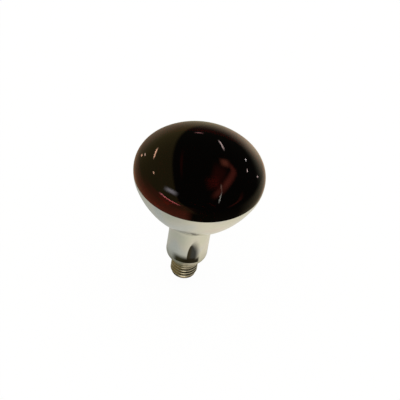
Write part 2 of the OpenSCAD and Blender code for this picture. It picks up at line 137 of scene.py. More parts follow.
def put(tree, kind, inputs=None, **settings):
    """One node: settings are its properties, inputs its sockets' values or the links to them."""
    node = tree.nodes.new(kind)
    for key, value in settings.items():
        setattr(node, key, value)
    for key, value in (inputs or {}).items():
        if isinstance(value, bpy.types.NodeSocket):
            tree.links.new(value, node.inputs[key])
        else:
            node.inputs[key].default_value = value
    return node


def worked(tree, operation, *values):
    """What a Math node makes of its values, which may be links."""
    return put(tree, "ShaderNodeMath", dict(enumerate(values)), operation=operation).outputs[0]


def vector_worked(tree, operation, *values):
    """What a Vector Math node makes of its values: a number for a length or a dot product, else a vector."""
    keys = (0, "Scale" if operation == "SCALE" else 1)
    node = put(tree, "ShaderNodeVectorMath", dict(zip(keys, values)), operation=operation)
    return node.outputs["Value" if operation in ("LENGTH", "DOT_PRODUCT") else "Vector"]


def ranged(tree, value, start, end, low=0.0, high=1.0, kind="SMOOTHSTEP"):
    """A value carried from one range to another, and eased at both ends unless kind is LINEAR."""
    return put(tree, "ShaderNodeMapRange", {
        "Value": value, "From Min": start, "From Max": end, "To Min": low, "To Max": high},
        interpolation_type=kind).outputs[0]


def mixed(tree, share, first, second, **settings):
    """A colour that goes from the first to the second as the share rises from 0 to 1."""
    return put(tree, "ShaderNodeMix", {"Factor": share, "A": first, "B": second},
               data_type="RGBA", **settings).outputs["Result"]


def placed(name, data):
    """A new object in the scene, at the origin."""
    made = bpy.data.objects.new(name, data)
    bpy.context.scene.collection.objects.link(made)
    return made


def sockets(tree, direction, kinds):
    """Adds named sockets to a node group's interface, with their starting values."""
    for name, (kind, start) in kinds.items():
        made = tree.interface.new_socket(name, in_out=direction, socket_type="NodeSocket" + kind)
        if start is not None:
            made.default_value = start


def shaping_tree(name, inputs):
    """An empty Geometry Nodes tree with a geometry in and out, and the named inputs."""
    tree = bpy.data.node_groups.new(name, "GeometryNodeTree")
    sockets(tree, "INPUT", {"Geometry": ("Geometry", None), **inputs})
    sockets(tree, "OUTPUT", {"Geometry": ("Geometry", None)})
    return tree, put(tree, "NodeGroupInput").outputs


def end_tree(tree, geometry, worn):
    """Ends a tree in Realize Instances, smooth shading and Set Material."""
    real = put(tree, "GeometryNodeRealizeInstances", {"Geometry": geometry})
    smooth = put(tree, "GeometryNodeSetShadeSmooth", {"Geometry": real.outputs[0]})
    coated = put(tree, "GeometryNodeSetMaterial", {"Geometry": smooth.outputs[0], "Material": worn})
    put(tree, "NodeGroupOutput", {"Geometry": coated.outputs[0]})


def shaped_by(tree, name, points, values, sharp):
    """Runs a tree on an open line of points, and keeps the result as a plain mesh object."""
    line = bpy.data.meshes.new(name + "_line")
    line.from_pydata([tuple(p) for p in points], [(i, i + 1) for i in range(len(points) - 1)], [])
    source = placed(name + "_line", line)
    modifier = source.modifiers.new("shape", "NODES")
    modifier.node_group = tree
    for item in tree.interface.items_tree:
        if item.item_type == "SOCKET" and item.in_out == "INPUT" and item.name in values:
            modifier[item.identifier] = values[item.name]
    graph = bpy.context.evaluated_depsgraph_get()
    result = bpy.data.meshes.new_from_object(source.evaluated_get(graph))
    source.modifiers.remove(modifier)
    bpy.data.objects.remove(source)
    result.name = name
    result.materials.clear()
    result.materials.append(values["Material"])
    result.set_sharp_from_angle(angle=math.radians(sharp))
    return placed(name, result)


def lathe_tree():
    """Turns a line of points, drawn in the XZ plane, into a closed surface of revolution."""
    tree, given = shaping_tree("lathe", {"Sides": ("Int", 64), "Material": ("Material", None)})
    size = put(tree, "GeometryNodeAttributeDomainSize", {"Geometry": given["Geometry"]})
    ring = worked(tree, "ADD", given["Sides"], 1)
    grid = put(tree, "GeometryNodeMeshGrid", {"Vertices X": size.outputs["Point Count"], "Vertices Y": ring})
    ratio = worked(tree, "DIVIDE", put(tree, "GeometryNodeInputIndex").outputs[0], ring)
    row = worked(tree, "FLOOR", ratio)
    step = worked(tree, "MULTIPLY", worked(tree, "SUBTRACT", ratio, row), ring)
    angle = worked(tree, "MULTIPLY", worked(tree, "DIVIDE", step, given["Sides"]), -math.tau)
    drawn = put(tree, "GeometryNodeSampleIndex",
                {"Geometry": given["Geometry"], "Value": put(tree, "GeometryNodeInputPosition").outputs[0],
                 "Index": row}, data_type="FLOAT_VECTOR")
    turned = put(tree, "ShaderNodeVectorRotate",
                 {"Vector": drawn.outputs["Value"], "Angle": angle}, rotation_type="Z_AXIS")
    moved = put(tree, "GeometryNodeSetPosition",
                {"Geometry": grid.outputs["Mesh"], "Position": turned.outputs[0]})
    closed = put(tree, "GeometryNodeMergeByDistance", {"Geometry": moved.outputs[0], "Distance": seam_reach})
    end_tree(tree, closed.outputs[0], given["Material"])
    return tree


lathe = lathe_tree()


def turned_piece(name, outline_points, worn):
    """A piece of revolution from radius and height points that run anticlockwise."""
    line = [(p[0], 0, p[1]) for p in outline_points]
    return shaped_by(lathe, name, line, {"Sides": bulb_sides, "Material": worn}, sharp=35)


def finish(name, values):
    """A material whose one shader takes these plain values."""
    made = bpy.data.materials.new(name)
    made.use_nodes = True
    shader = made.node_tree.nodes["Principled BSDF"]
    for socket, value in values.items():
        shader.inputs[socket].default_value = value
    return made, made.node_tree, shader


def surface_grain_group():
    """Mottles a surface between two colours and two roughnesses, with a height for its bumps."""
    tree = bpy.data.node_groups.new("surface_grain", "ShaderNodeTree")
    sockets(tree, "INPUT", {
        "Scale": ("Float", 100.0), "Stretch": ("Vector", (1, 1, 1)),
        "Dark": ("Color", (0, 0, 0, 1)), "Light": ("Color", (1, 1, 1, 1)),
        "Smooth": ("Float", 0.2), "Rough": ("Float", 0.4)})
    sockets(tree, "OUTPUT", {"Color": ("Color", None), "Roughness": ("Float", None), "Height": ("Float", None)})
    given = put(tree, "NodeGroupInput").outputs
    place = put(tree, "ShaderNodeTexCoord").outputs["Object"]
    pulled = vector_worked(tree, "MULTIPLY", place, given["Stretch"])
    broad = put(tree, "ShaderNodeTexNoise",
                {"Vector": pulled, "Scale": given["Scale"], "Detail": 3.0, "Roughness": 0.55}).outputs[0]
    finer = worked(tree, "MULTIPLY", given["Scale"], 7.0)
    fine = put(tree, "ShaderNodeTexNoise", {"Vector": pulled, "Scale": finer, "Detail": 2.0}).outputs[0]
    both = worked(tree, "MULTIPLY", broad, fine)
    put(tree, "NodeGroupOutput", {
        "Color": mixed(tree, ranged(tree, broad, 0.34, 0.66), given["Dark"], given["Light"]),
        "Roughness": ranged(tree, both, 0.15, 0.36, given["Smooth"], given["Rough"], "LINEAR"),
        "Height": both})
    return tree


surface_grain = surface_grain_group()


def bent_normal(tree, shader, height, strength, depth):
    """Bends a shader's normal by a height that changes over the surface."""
    bump = put(tree, "ShaderNodeBump", {"Height": height, "Strength": strength, "Distance": depth})
    tree.links.new(bump.outputs[0], shader.inputs["Normal"])


def grained(tree, shader, values, bump=0.0, depth=0.0):
    """Feeds a shader's colour, roughness and normal from the grain, and returns the grain's colour."""
    grain = put(tree, "ShaderNodeGroup", values, node_tree=surface_grain).outputs
    tree.links.new(grain["Color"], shader.inputs["Base Color"])
    tree.links.new(grain["Roughness"], shader.inputs["Roughness"])
    if bump:
        bent_normal(tree, shader, grain["Height"], bump, depth)
    return grain["Color"]


# A dark tongue is painted up the front of the neck, with a brown band at its foot that is a painted reflection of the
# cap and its shade.
# Its sizes are heights above the contact, half widths, and how soft its left and right are.
painted_dark_foot = 36.7 * mm
painted_dark_foot_edge = 0.3 * mm
painted_band_top = 43 * mm
painted_tongue_shoulder = 47 * mm
painted_tongue_twice = 80 * mm
painted_tongue_turn = math.radians(16)
painted_tongue_left = 4.25 * mm
painted_tongue_right = 6.6 * mm
painted_tongue_clean = 0.07
painted_tongue_faded = 0.5
painted_band_ragged = 3 * mm
painted_band_ends = ((-15 * mm, -8 * mm), (13.8 * mm, 12.2 * mm))
film_plain = (1.0, 0.98, 0.94, 1)
film_blue = (0.88, 0.95, 1.0, 1)
film_green = (0.93, 1.0, 0.92, 1)
film_pink = (1.0, 0.92, 0.90, 1)


def satin_mirror():
    """The mirror seen through the etched glass: satin and tinted like thin oil, with a dark tongue painted up the
    neck and a painted reflection of the cap as a brown band at its foot.
    """
    made, tree, shader = finish("satin_mirror", {"Metallic": 0.9})
    grain = grained(tree, shader, {
        "Scale": 16.0, "Stretch": (1, 1, 0.6), "Dark": (0.80, 0.78, 0.70, 1),
        "Light": (0.86, 0.82, 0.74, 1), "Smooth": 0.16, "Rough": 0.26}, bump=0.08, depth=0.3 * mm)
    place = put(tree, "ShaderNodeTexCoord").outputs["Object"]
    film = put(tree, "ShaderNodeTexNoise",
               {"Vector": place, "Scale": 26.0, "Detail": 1.0, "Distortion": 0.6}).outputs[0]
    tints = put(tree, "ShaderNodeValToRGB", {"Fac": film})
    tints.color_ramp.interpolation = "B_SPLINE"
    for at, tint in ((0.36, film_blue), (0.46, film_plain), (0.54, film_green), (0.64, film_pink)):
        tints.color_ramp.elements.new(at).color = tint
    tints.color_ramp.elements[0].color = film_blue
    tints.color_ramp.elements[-1].color = film_pink
    tinted = mixed(tree, 1.0, grain, tints.outputs[0], blend_type="MULTIPLY")
    own = put(tree, "ShaderNodeSeparateXYZ", {0: place}).outputs
    turned = put(tree, "ShaderNodeVectorRotate", {"Vector": place, "Angle": -painted_tongue_turn}, rotation_type="Z_AXIS")
    part = put(tree, "ShaderNodeSeparateXYZ", {0: turned.outputs[0]}).outputs

    # The tongue has a round top, a clean left side and a right side that fades.
    reach = ranged(tree, part["X"], -mm, mm, painted_tongue_left, painted_tongue_right)
    across = worked(tree, "POWER", worked(tree, "DIVIDE", part["X"], reach), 2.0)
    climb = worked(tree, "POWER", ranged(tree, part["Z"], painted_tongue_shoulder, painted_tongue_twice, 0.0, 2.0, "LINEAR"), 2.0)
    far = worked(tree, "SQRT", worked(tree, "ADD", across, climb))
    soft = ranged(tree, part["X"], -2.5 * mm, 2.5 * mm, painted_tongue_clean, painted_tongue_faded)
    tongue = ranged(tree, far, worked(tree, "ADD", 1.0, soft), worked(tree, "SUBTRACT", 1.0, soft))
    # The band joins its foot, and fades upwards and to both sides.
    ragged = worked(tree, "MULTIPLY_ADD", film, painted_band_ragged, own["Z"])
    band = ranged(tree, ragged, painted_band_top + 6 * mm, painted_band_top - mm)
    for start, end in painted_band_ends:
        band = worked(tree, "MULTIPLY", band, ranged(tree, own["X"], start, end))
    painted_dark = worked(tree, "MAXIMUM", tongue, band)
    for share in (worked(tree, "LESS_THAN", part["Y"], 0.0),
                  ranged(tree, own["Z"], painted_dark_foot - painted_dark_foot_edge, painted_dark_foot + painted_dark_foot_edge)):
        painted_dark = worked(tree, "MULTIPLY", painted_dark, share)
    # Painted dark tones: the tongue's, and the band's, which stands in for the cap and its shade seen in the mirror.
    inner = mixed(tree, ranged(tree, part["X"], -3 * mm, mm), (0.045, 0.035, 0.016, 1), (0.050, 0.052, 0.048, 1))
    foot = mixed(tree, ranged(tree, own["X"], -8 * mm, 2 * mm), (0.055, 0.052, 0.022, 1), (0.020, 0.015, 0.005, 1))
    deep = mixed(tree, ranged(tree, own["Z"], painted_band_top + 2 * mm, painted_band_top - mm), inner, foot)
    tree.links.new(mixed(tree, painted_dark, tinted, deep), shader.inputs["Base Color"])
    return made


def bright_mirror():
    """The same mirror from inside the bulb, where nothing dulls it."""
    made, tree, shader = finish("bright_mirror", {"Metallic": 1.0})
    grained(tree, shader, {
        "Scale": 40.0, "Dark": (0.84, 0.84, 0.82, 1), "Light": (0.90, 0.90, 0.88, 1),
        "Smooth": 0.05, "Rough": 0.12})
    return made


bowl_outside = with_mould_line(between(outline(0), seal_z - mm, red_edge_z))
bowl_inside = between(outline(glass_wall), seal_z - mm, red_edge_z)
silvered_bowl = turned_piece("silvered_bowl", bowl_outside + bowl_inside[::-1] + bowl_outside[:1], satin_mirror())
silvered_bowl.data.materials.append(bright_mirror())
for face in silvered_bowl.data.polygons:
    outwards = Vector((face.center.x, face.center.y, 0)).dot(face.normal) > 0
    face.material_index = 0 if outwards else 1
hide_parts("envelope", "mirror_coat")
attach(silvered_bowl, "root")


# The red face
# The same bubble from its crown to just under its widest line, smooth, and lined with a
# deep red heat-proof coat that stops most of the light and lets the heat through.
def wavy(tree, shader, scale, detail, strength, depth):
    """The slight waves that glass keeps from its blowing or pressing."""
    place = put(tree, "ShaderNodeTexCoord").outputs["Object"]
    waves = put(tree, "ShaderNodeTexNoise", {"Vector": place, "Scale": scale, "Detail": detail})
    bent_normal(tree, shader, waves.outputs[0], strength, depth)


def ruby_glass():
    made, tree, shader = finish("ruby_glass", {
        "Transmission Weight": 1.0, "Roughness": 0.0, "IOR": 1.5,
        "Base Color": (0.15, 0.006, 0.004, 1)})
    wavy(tree, shader, 22.0, 1.0, 0.06, mm)
    return made


face_outside = between(outline(0), red_edge_z, crown_z + mm)
face_inside = between(outline(glass_wall), red_edge_z, crown_z + mm)
ruby_face = turned_piece("ruby_face", face_outside + face_inside[::-1] + face_outside[:1], ruby_glass())
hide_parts("envelope", "red_coat")
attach(ruby_face, "root")


# The glass stem
# A flared tube of lead glass, pressed flat while hot round the wires, with the exhaust
# tube melted in below and a rod with a button above. All three are clear.
def clear_glass():
    made, tree, shader = finish("clear_glass", {
        "Transmission Weight": 1.0, "Roughness": 0.02, "IOR": 1.54, "Base Color": (0.90, 0.94, 0.92, 1)})
    wavy(tree, shader, 90.0, 2.0, 0.2, 0.5 * mm)
    return made


def dress(node, worn):
    """Gives a CAD node its finished material."""
    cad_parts[node].data.materials.clear()
    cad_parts[node].data.materials.append(worn)


stem_glass = clear_glass()
for node in ("stem", "exhaust_tube", "arbor"):
    dress(node, stem_glass)


# The leads and supports
# Drawn wires, bent on a former: nickel inside the bulb, copper in the stem and cap, and
# molybdenum for the five supports, which end in a loop round the filament.
coil_radius = 0.8 * mm
ring_radius = 16 * mm
filament_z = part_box("filament")[1].z - coil_radius
ring_gap = math.radians(60)
support_count = 5
support_radius = 0.25 * mm
lead_radius = 0.45 * mm
lead_x = 4.25 * mm
lead_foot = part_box("inner_lead_left")[0].z
lead_bend_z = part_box("heat_shield")[0].z + 4.5 * mm
lead_hook_drop = 4 * mm
loop_gap = 0.15 * mm
loop_turn = math.radians(330)
wire_sides = 14
button_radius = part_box("arbor")[1].x
button_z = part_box("arbor")[1].z - 1.8 * mm
arc_start = ring_gap / 2 - math.pi / 2
support_step = (math.tau - ring_gap) / (support_count + 1)


def wire_tree():
    """Draws a round wire along a line of points, with its bends eased."""
    tree, given = shaping_tree("drawn_wire", {
        "Radius": ("Float", 0.0005), "Bend": ("Float", 0.001), "Sides": ("Int", 12),
        "Material": ("Material", None)})
    route = put(tree, "GeometryNodeMeshToCurve", {"Mesh": given["Geometry"]})
    eased = put(tree, "GeometryNodeFilletCurve",
                {"Curve": route.outputs[0], "Count": 6, "Radius": given["Bend"], "Limit Radius": True},
                mode="POLY")
    section = put(tree, "GeometryNodeCurvePrimitiveCircle",
                  {"Resolution": given["Sides"], "Radius": given["Radius"]})
    drawn = put(tree, "GeometryNodeCurveToMesh",
                {"Curve": eased.outputs[0], "Profile Curve": section.outputs[0], "Fill Caps": True})
    end_tree(tree, drawn.outputs[0], given["Material"])
    return tree


drawn_wire = wire_tree()


def turned_about(points, angle):
    """Points turned about the bulb's axis."""
    return [Matrix.Rotation(angle, 3, "Z") @ Vector(p) for p in points]


def loop_round(radius, first, steps=28):
    """A loop round the filament, in the XZ plane, that stops just short of itself."""
    angles = [first + loop_turn * i / steps for i in range(steps + 1)]
    return [(ring_radius + radius * math.cos(a), 0, filament_z + radius * math.sin(a)) for a in angles]


def wire_metal(name, dark, light, smooth, rough):
    """A drawn wire, with fine marks along it and a touch of heat colour."""
    made, tree, shader = finish(name, {"Metallic": 1.0})
    grained(tree, shader, {"Scale": 900.0, "Stretch": (1, 1, 0.15), "Dark": dark, "Light": light,
                           "Smooth": smooth, "Rough": rough}, bump=0.15, depth=0.02 * mm)
    return made


nickel = wire_metal("bright_nickel", (0.42, 0.40, 0.36, 1), (0.62, 0.59, 0.54, 1), 0.18, 0.34)
copper = wire_metal("tinned_copper", (0.50, 0.26, 0.15, 1), (0.78, 0.44, 0.28, 1), 0.2, 0.4)
molybdenum = wire_metal("heat_darkened_molybdenum", (0.16, 0.15, 0.15, 1), (0.34, 0.33, 0.32, 1), 0.25, 0.45)


def bent_wire(name, node, points, radius, worn):
    """A wire piece that stands for one CAD wire."""
    piece = shaped_by(drawn_wire, name, points, {
        "Radius": radius, "Bend": 3 * radius, "Sides": wire_sides, "Material": worn}, sharp=50)
    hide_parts(node)
    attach(piece, "root")


hook_radius = coil_radius + loop_gap + lead_radius
for side, hand in ((-1, "left"), (1, "right")):
    around = arc_start if side > 0 else math.pi - arc_start
    straight = [(side * lead_x, 0, lead_foot), (side * lead_x, 0, lead_bend_z)]
    slant = turned_about([(ring_radius + hook_radius, 0, filament_z - lead_hook_drop)], around)
    bent_wire("lead_to_filament_" + hand, "inner_lead_" + hand,
              straight + slant + turned_about(loop_round(hook_radius, 0), around),
              lead_radius, nickel)
    dress("seal_wire_" + hand, copper)

loop_radius = coil_radius + loop_gap + support_radius
for i in range(1, support_count + 1):
    arm = [
        (button_radius * 0.4, 0, button_z),
        (button_radius + mm, 0, button_z),
        (ring_radius - 2 * loop_radius, 0, filament_z - loop_radius),
    ]
    bent_wire(f"filament_support_{i}", f"support_wire_{i}",
              turned_about(arm + loop_round(loop_radius, -math.pi / 2), arc_start + i * support_step),
              support_radius, molybdenum)
for node in ("outer_lead_centre", "outer_lead_side"):
    dress(node, copper)


# The filament
# Tungsten wire of a fifth of a millimetre, wound on a mandrel into one long coil and
# hung in a ring, so that it sags a little between the supports.
tungsten_radius = 0.1 * mm
coil_pitch = 0.45 * mm
sag = 0.8 * mm
pull_in = 0.5 * mm
steps_per_turn = 12
steps_per_span = 24
steps_past_end = 3


def filament_point(t):
    """A point on the coil's centre line, with t counted in spans between supports."""
    angle = arc_start + t * support_step
    dip = math.sin(math.pi * t) ** 2
    radius = ring_radius - pull_in * dip
    return (radius * math.cos(angle), radius * math.sin(angle), filament_z - sag * dip)


def coil_tree():
    """Winds a wire round a line of points."""
    tree, given = shaping_tree("wound_coil", {
        "Turns": ("Int", 100), "Coil Radius": ("Float", 0.0007), "Wire Radius": ("Float", 0.0001),
        "Material": ("Material", None)})
    route = put(tree, "GeometryNodeMeshToCurve", {"Mesh": given["Geometry"]})
    upright = put(tree, "GeometryNodeSetCurveNormal", {"Curve": route.outputs[0]}, mode="Z_UP")
    count = worked(tree, "MULTIPLY", given["Turns"], steps_per_turn)
    fine = put(tree, "GeometryNodeResampleCurve", {"Curve": upright.outputs[0], "Count": count})
    angle = worked(tree, "MULTIPLY", put(tree, "GeometryNodeInputIndex").outputs[0], math.tau / steps_per_turn)
    normal = put(tree, "GeometryNodeInputNormal").outputs[0]
    along = put(tree, "GeometryNodeInputTangent").outputs[0]
    binormal = vector_worked(tree, "CROSS_PRODUCT", along, normal)
    across = vector_worked(tree, "SCALE", normal, worked(tree, "COSINE", angle))
    above = vector_worked(tree, "SCALE", binormal, worked(tree, "SINE", angle))
    offset = vector_worked(tree, "SCALE", vector_worked(tree, "ADD", across, above), given["Coil Radius"])
    wound = put(tree, "GeometryNodeSetPosition", {"Geometry": fine.outputs[0], "Offset": offset})
    section = put(tree, "GeometryNodeCurvePrimitiveCircle", {"Resolution": 6, "Radius": given["Wire Radius"]})
    drawn = put(tree, "GeometryNodeCurveToMesh",
                {"Curve": wound.outputs[0], "Profile Curve": section.outputs[0], "Fill Caps": True})
    end_tree(tree, drawn.outputs[0], given["Material"])
    return tree


tungsten = wire_metal("coiled_tungsten", (0.14, 0.14, 0.15, 1), (0.36, 0.35, 0.35, 1), 0.25, 0.45)
last_step = steps_per_span * (support_count + 1) + steps_past_end
coil_route = [filament_point(i / steps_per_span) for i in range(-steps_past_end, last_step + 1)]
coil_length = sum((Vector(a) - Vector(b)).length for a, b in zip(coil_route, coil_route[1:]))
wound_filament = shaped_by(coil_tree(), "wound_filament", coil_route, {
    "Turns": int(coil_length / coil_pitch), "Coil Radius": coil_radius - tungsten_radius,
    "Wire Radius": tungsten_radius, "Material": tungsten}, sharp=70)
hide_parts("filament")
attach(wound_filament, "root")


# The heat shield and its rivet
# A disc of bright metal sheet with a turned-down edge, riveted over the arbor so that
# the filament's heat doesn't reach the press and the cap.
def sheet_metal():
    made, tree, shader = finish("bright_sheet", {"Metallic": 1.0})
    grained(tree, shader, {"Scale": 140.0, "Stretch": (1, 0.1, 1), "Dark": (0.60, 0.59, 0.57, 1),
                           "Light": (0.78, 0.77, 0.75, 1), "Smooth": 0.16, "Rough": 0.36},
            bump=0.1, depth=0.05 * mm)
    return made


shield_sheet = sheet_metal()
for node in ("heat_shield", "shield_rivet"):
    dress(node, shield_sheet)


# The screw shell
# Thin brass sheet rolled into a round thread between a curled lip and a smooth collar,
# then nickel plated. The plating is worn yellowish on the crests, and the roots are darker: dirt, and painted shade.
shell_low, shell_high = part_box("screw_shell")
shell_sheet = 0.3 * mm
thread_major = 13.15 * mm
thread_minor = 12.075 * mm
thread_pitch = 3.629 * mm
collar_radius = 13 * mm
collar_height = 4 * mm
lip_radius = 10.2 * mm
lip_height = 2.6 * mm
shell_sides = 120
rows_per_pitch = 20
thread_depth = thread_major - thread_minor
thread_arc = (thread_pitch ** 2 / 4 + thread_depth ** 2) / (4 * thread_depth)
thread_low = shell_low.z + lip_height
thread_high = shell_high.z - collar_height


def thread_radius(u, depth):
    """Radius of the sheet at a distance u from a crest, moved inwards by depth."""
    if abs(u) * thread_arc <= thread_pitch / 4 * (thread_arc - depth):
        return thread_major - thread_arc + math.sqrt((thread_arc - depth) ** 2 - u * u)
    return thread_minor + thread_arc - math.sqrt((thread_arc + depth) ** 2 - (thread_pitch / 2 - abs(u)) ** 2)


def plain_radius(z):
    """Radius of the shell without its thread: the curled lip, then the run up to the collar."""
    if z < thread_low:
        share = (thread_low - z) / lip_height
        return lip_radius + (thread_minor - lip_radius) * math.sqrt(max(0, 1 - share * share))
    share = min(1, (z - thread_low) / (thread_high - thread_low))
    return thread_minor + (collar_radius - thread_minor) * share


def shell_radius(z, angle, depth):
    """Radius of the rolled sheet, with the thread fading out at the lip and the collar."""
    turns = (z - thread_low) / thread_pitch - angle / math.tau
    u = (turns - round(turns)) * thread_pitch
    rise = min(z - thread_low, thread_high - z) / (thread_pitch / 2)
    share = (1 - math.cos(math.pi * max(0, min(1, rise)))) / 2
    plain = plain_radius(z) - depth
    return plain + share * (thread_radius(u, depth) - plain)


def rolled_shell():
    """One sheet, alike inside and outside, with its two cut edges closed."""
    rows = math.ceil((shell_high.z - shell_low.z) / thread_pitch * rows_per_pitch)
    heights = [shell_low.z + (shell_high.z - shell_low.z) * i / rows for i in range(rows + 1)]
    levels = [(z, 0) for z in heights] + [(z, shell_sheet) for z in heights[::-1]]
    points = []
    for z, depth in levels:
        for j in range(shell_sides):
            angle = math.tau * j / shell_sides
            radius = shell_radius(z, angle, depth)
            points.append((radius * math.cos(angle), radius * math.sin(angle), z))
    faces = []
    for i in range(len(levels)):
        for j in range(shell_sides):
            k = (j + 1) % shell_sides
            low = i * shell_sides
            high = (i + 1) % len(levels) * shell_sides
            faces.append((low + j, low + k, high + k, high + j))
    mesh = bpy.data.meshes.new("rolled_screw_shell")
    mesh.from_pydata(points, [], faces)
    mesh.shade_smooth()
    mesh.set_sharp_from_angle(angle=math.radians(50))
    return placed("rolled_screw_shell", mesh)


def plated_brass():
    made, tree, shader = finish("nickel_plated_brass", {"Metallic": 1.0})
    grain = grained(tree, shader, {
        "Scale": 260.0, "Stretch": (1, 1, 3), "Dark": (0.60, 0.555, 0.45, 1), "Light": (0.80, 0.755, 0.645, 1),
        "Smooth": 0.16, "Rough": 0.3}, bump=0.12, depth=0.05 * mm)
    place = put(tree, "ShaderNodeTexCoord").outputs["Object"]
    radius = vector_worked(tree, "LENGTH", vector_worked(tree, "MULTIPLY", place, (1, 1, 0)))
    # Darker towards the thread's roots: dirt there, and painted shade in the recesses.
    crest = ranged(tree, radius, thread_minor - 0.1 * mm, thread_major)
    dull = mixed(tree, crest, (0.52, 0.465, 0.37, 1), (1.0, 1.0, 0.97, 1))
    worn = mixed(tree, 1.0, grain, dull, blend_type="MULTIPLY")
    tree.links.new(worn, shader.inputs["Base Color"])
    return made


screw_shell = rolled_shell()
screw_shell.data.materials.append(plated_brass())
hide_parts("screw_shell")
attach(screw_shell, "root")


# The cement, the black glass and the contact
# Baked cement fixes the collar to the bulb. Black glass, poured into the lower end of the
# shell, carries a brass plate, and the leads are soldered to the plate and to the rim.
def baked_cement():
    made, tree, shader = finish("baked_cement", {})
    grained(tree, shader, {"Scale": 420.0, "Dark": (0.22, 0.15, 0.08, 1), "Light": (0.42, 0.33, 0.21, 1),
                           "Smooth": 0.75, "Rough": 0.95}, bump=0.6, depth=0.15 * mm)
    return made


def black_cap_glass():
    made, tree, shader = finish("black_cap_glass", {"IOR": 1.55})
    grained(tree, shader, {"Scale": 150.0, "Dark": (0.006, 0.006, 0.009, 1), "Light": (0.018, 0.017, 0.022, 1),
                           "Smooth": 0.08, "Rough": 0.3}, bump=0.25, depth=0.1 * mm)
    return made


def contact_metal():
    made, tree, shader = finish("contact_brass", {"Metallic": 1.0})
    grained(tree, shader, {"Scale": 300.0, "Dark": (0.42, 0.27, 0.10, 1), "Light": (0.72, 0.52, 0.24, 1),
                           "Smooth": 0.2, "Rough": 0.45}, bump=0.2, depth=0.04 * mm)
    return made


def soft_solder():
    made, tree, shader = finish("soft_solder", {"Metallic": 1.0})
    grained(tree, shader, {"Scale": 700.0, "Dark": (0.34, 0.34, 0.35, 1), "Light": (0.60, 0.60, 0.60, 1),
                           "Smooth": 0.22, "Rough": 0.5}, bump=0.35, depth=0.08 * mm)
    return made


dress("basing_cement", baked_cement())
dress("black_glass", black_cap_glass())
dress("contact_plate", contact_metal())
solder = soft_solder()
for node in ("centre_solder", "side_solder"):
    dress(node, solder)


# The studio
# A sheet of white paper in a dim room. Only mirror and glass rays see the room: a warm
# wall to the left, a pale one behind on the right, dark overhead, and a few thin lamps.
aim_height = 100 * mm
camera_distance = 1583 * mm
camera_elevation = math.radians(44.1)
camera_roll = math.radians(9.77)
shift_right = 5.13 * mm
shift_up = 2.49 * mm
focal_length = 149.3
sensor_width = 36.0

forwards = Vector((0, math.cos(camera_elevation), -math.sin(camera_elevation)))
level_up = Vector((0, math.sin(camera_elevation), math.cos(camera_elevation)))
level_right = Vector((1, 0, 0))
right = math.cos(camera_roll) * level_right + math.sin(camera_roll) * level_up
up = math.cos(camera_roll) * level_up - math.sin(camera_roll) * level_right
lens = bpy.data.cameras.new("photo_camera")
lens.lens = focal_length
lens.sensor_width = sensor_width
lens.sensor_fit = "HORIZONTAL"
lens.clip_start = 0.01
camera = placed("photo_camera", lens)
position = Vector((0, 0, aim_height)) + shift_right * right + shift_up * up - camera_distance * forwards
turn = Matrix((right, up, -forwards)).transposed()
camera.matrix_world = Matrix.Translation(position) @ turn.to_4x4()
bpy.context.scene.camera = camera


def toward(azimuth, elevation):
    """A direction, with azimuth in degrees to the right of the camera's side."""
    a, e = math.radians(azimuth), math.radians(elevation)
    return Vector((math.sin(a) * math.cos(e), -math.cos(a) * math.cos(e), math.sin(e)))


def light_patch_group():
    """Lays a soft-edged streak of light over a colour, by direction."""
    tree = bpy.data.node_groups.new("light_patch", "ShaderNodeTree")
    sockets(tree, "INPUT", {
        "Way": ("Vector", (0, 0, 1)), "Under": ("Color", (0, 0, 0, 1)), "Middle": ("Vector", (0, 0, 1)),
        "Along": ("Vector", (1, 0, 0)), "Across": ("Vector", (0, 1, 0)), "Half Length": ("Float", 0.1),
        "Half Width": ("Float", 0.1), "Soft": ("Float", 0.5), "Tone": ("Color", (1, 1, 1, 1))})
    sockets(tree, "OUTPUT", {"Color": ("Color", None)})
    given = put(tree, "NodeGroupInput").outputs
    more = worked(tree, "ADD", 1.0, given["Soft"])
    less = worked(tree, "SUBTRACT", 1.0, given["Soft"])
    ahead = vector_worked(tree, "DOT_PRODUCT", given["Way"], given["Middle"])
    share = worked(tree, "GREATER_THAN", ahead, 0.0)
    for axis, half in (("Along", "Half Length"), ("Across", "Half Width")):
        off = worked(tree, "ABSOLUTE", vector_worked(tree, "DOT_PRODUCT", given["Way"], given[axis]))
        lit = ranged(tree, worked(tree, "DIVIDE", off, given[half]), more, less)
        share = worked(tree, "MULTIPLY", share, lit)
    put(tree, "NodeGroupOutput", {"Color": mixed(tree, share, given["Under"], given["Tone"])})
    return tree


light_patch = light_patch_group()


def added_patch(tree, way, under, start, end, half_width, soft, tone, strength):
    """A streak from one direction to another, each an azimuth and an elevation in degrees."""
    first, last = toward(*start), toward(*end)
    middle = (first + last).normalized()
    along = (last - first).normalized()
    return put(tree, "ShaderNodeGroup", {
        "Way": way, "Under": under, "Middle": middle, "Along": along, "Across": middle.cross(along),
        "Half Length": (last - first).length / 2, "Half Width": math.sin(math.radians(half_width)),
        "Soft": soft, "Tone": tuple(strength * c for c in tone[:3]) + (1,)},
        node_tree=light_patch).outputs["Color"]


dark_tone = (0.020, 0.024, 0.018, 1)
wall_tone = (0.22, 0.17, 0.065, 1)
rim_tone = (0.40, 0.36, 0.26, 1)
amber = (1.0, 0.55, 0.36, 1)
pinkish = (1.0, 0.66, 0.52, 1)
red = (1.0, 0.19, 0.13, 1)
cool = (1.0, 0.93, 1.0, 1)
lamp = (1.0, 0.74, 0.70, 1)
